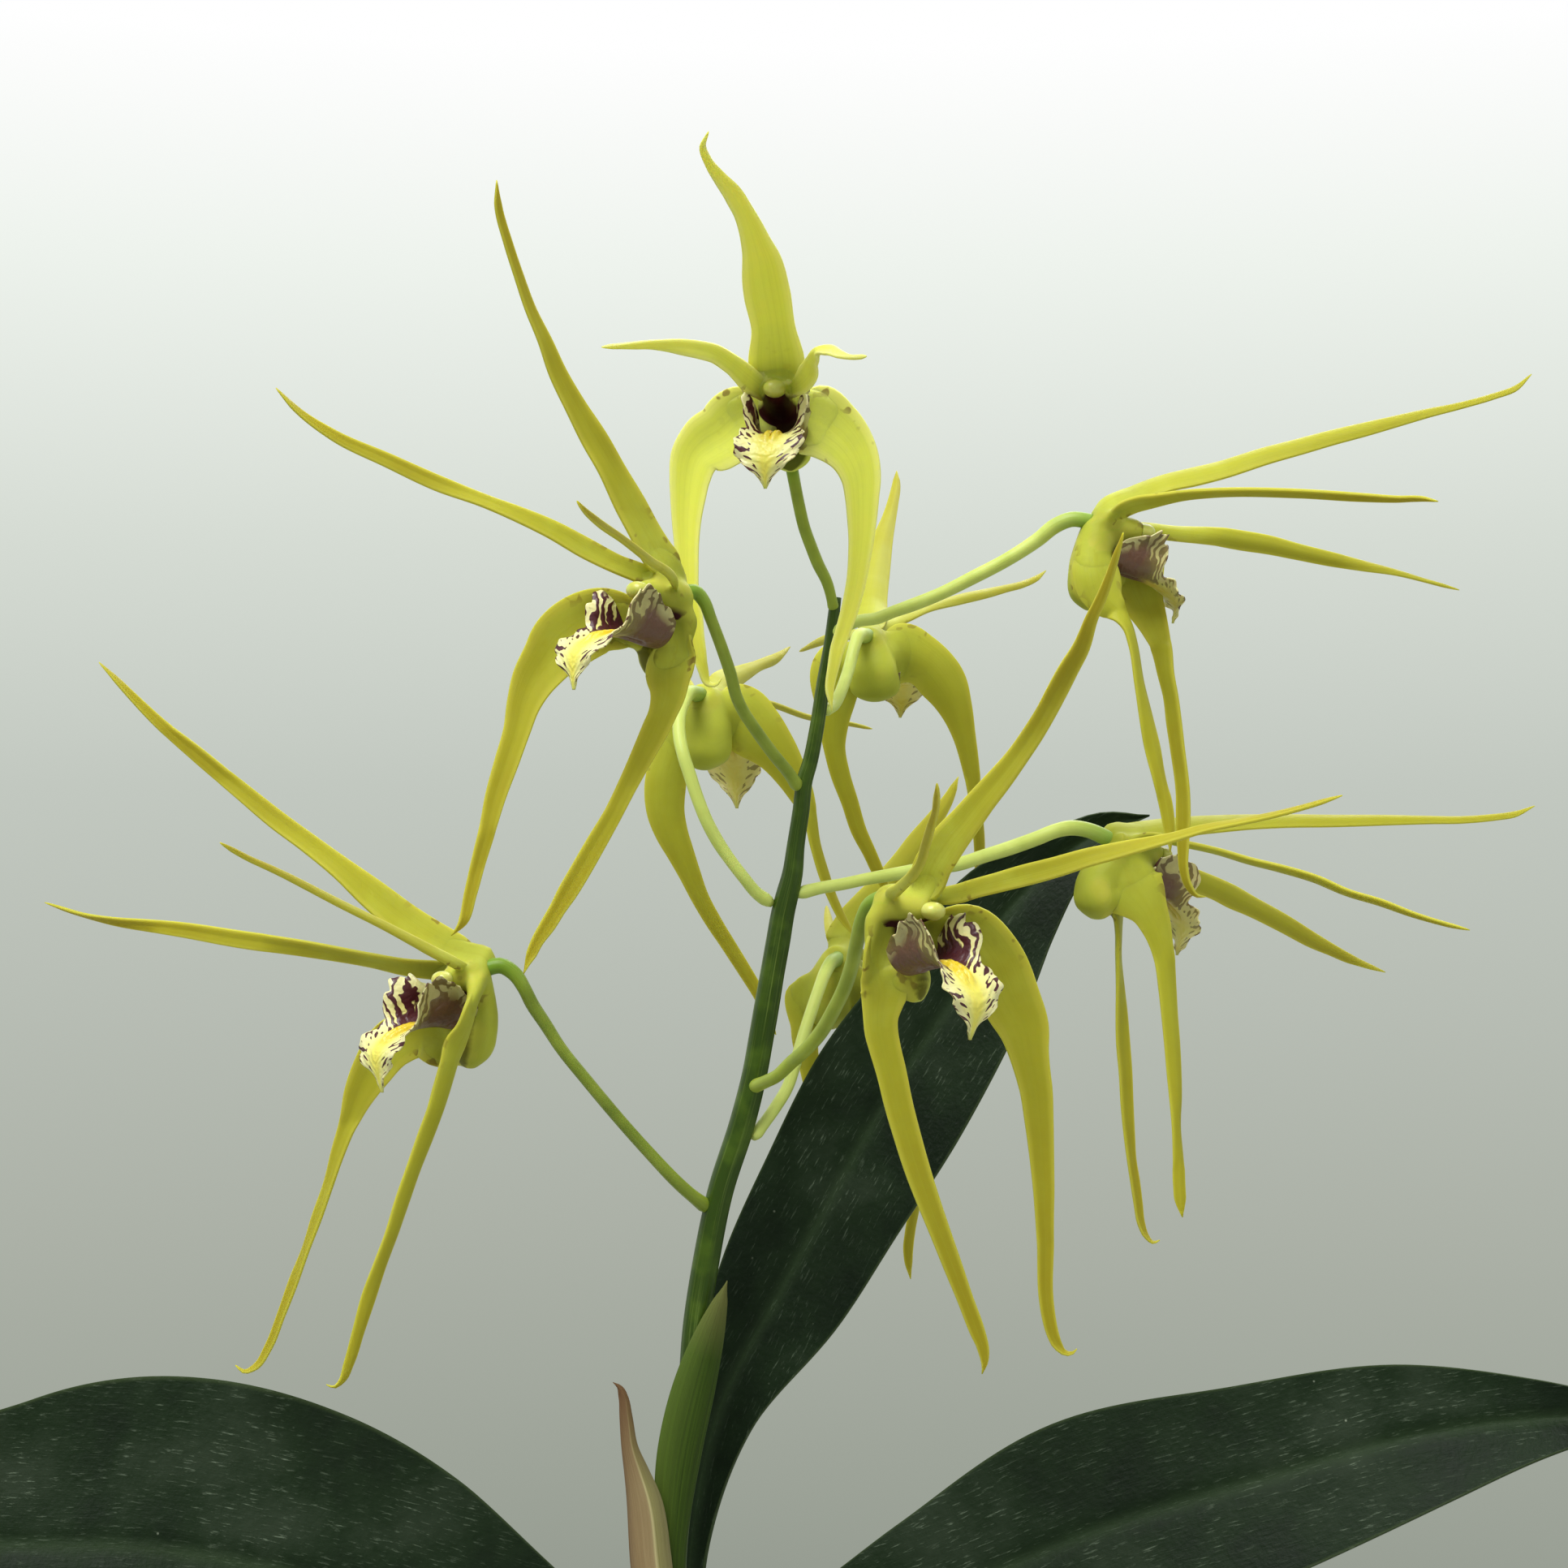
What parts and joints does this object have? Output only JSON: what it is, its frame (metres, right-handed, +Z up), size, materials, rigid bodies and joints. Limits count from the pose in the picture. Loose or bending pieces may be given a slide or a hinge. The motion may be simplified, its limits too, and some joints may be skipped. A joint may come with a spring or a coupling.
{
  "type": "potted hilda poxon dendrobium",
  "caption": "Potted dendrobium orchid with an arching raceme of spidery lime and gold flowers, dark leaves, ringed canes, bark mix and a clay pot.",
  "frame": {"origin": "middle of the pot's underside, on the surface the pot stands on", "axes": "+Z up the cane, +Y away from the viewer of the picture, +X to the viewer's right"},
  "size_m": [0.2198, 0.1448, 0.3962],
  "materials": {
    "tepal": "waxy lime to golden yellow flower skin, softly translucent",
    "lip": "cream to greenish yellow, barred with dark maroon",
    "anther_cap": "smooth pale cream",
    "green_stem": "smooth waxy green",
    "sheath": "dull olive green, faintly lined",
    "dry_bract": "dry papery tan",
    "leaf": "thick dark green leaf with a soft sheen",
    "cane": "green cane with papery joint rings",
    "old_cane": "yellowed bare cane",
    "terracotta": "unglazed fired clay",
    "bark": "rough chipped bark"
  },
  "bodies": {
    "root": {"bloom_a": "tepal", "lip_a": "lip", "cap_a": "anther_cap", "bloom_b": "tepal", "lip_b": "lip", "cap_b": "anther_cap", "bloom_c": "tepal", "lip_c": "lip", "cap_c": "anther_cap", "bloom_d": "tepal", "lip_d": "lip", "cap_d": "anther_cap", "bloom_e": "tepal", "lip_e": "lip", "cap_e": "anther_cap", "bloom_f": "tepal", "lip_f": "lip", "cap_f": "anther_cap", "bloom_g": "tepal", "lip_g": "lip", "cap_g": "anther_cap", "bloom_h": "tepal", "lip_h": "lip", "cap_h": "anther_cap", "bloom_i": "tepal", "lip_i": "lip", "cap_i": "anther_cap", "raceme_stem": "green_stem", "leaf_back": "leaf", "leaf_left": "leaf", "leaf_right": "leaf", "peduncle_sheath": "sheath", "dry_bract": "dry_bract", "cane_flowering": "cane", "cane_old_left": "old_cane", "cane_old_right": "old_cane", "pot": "terracotta", "bark_mix": "bark"}
  },
  "joints": []
}
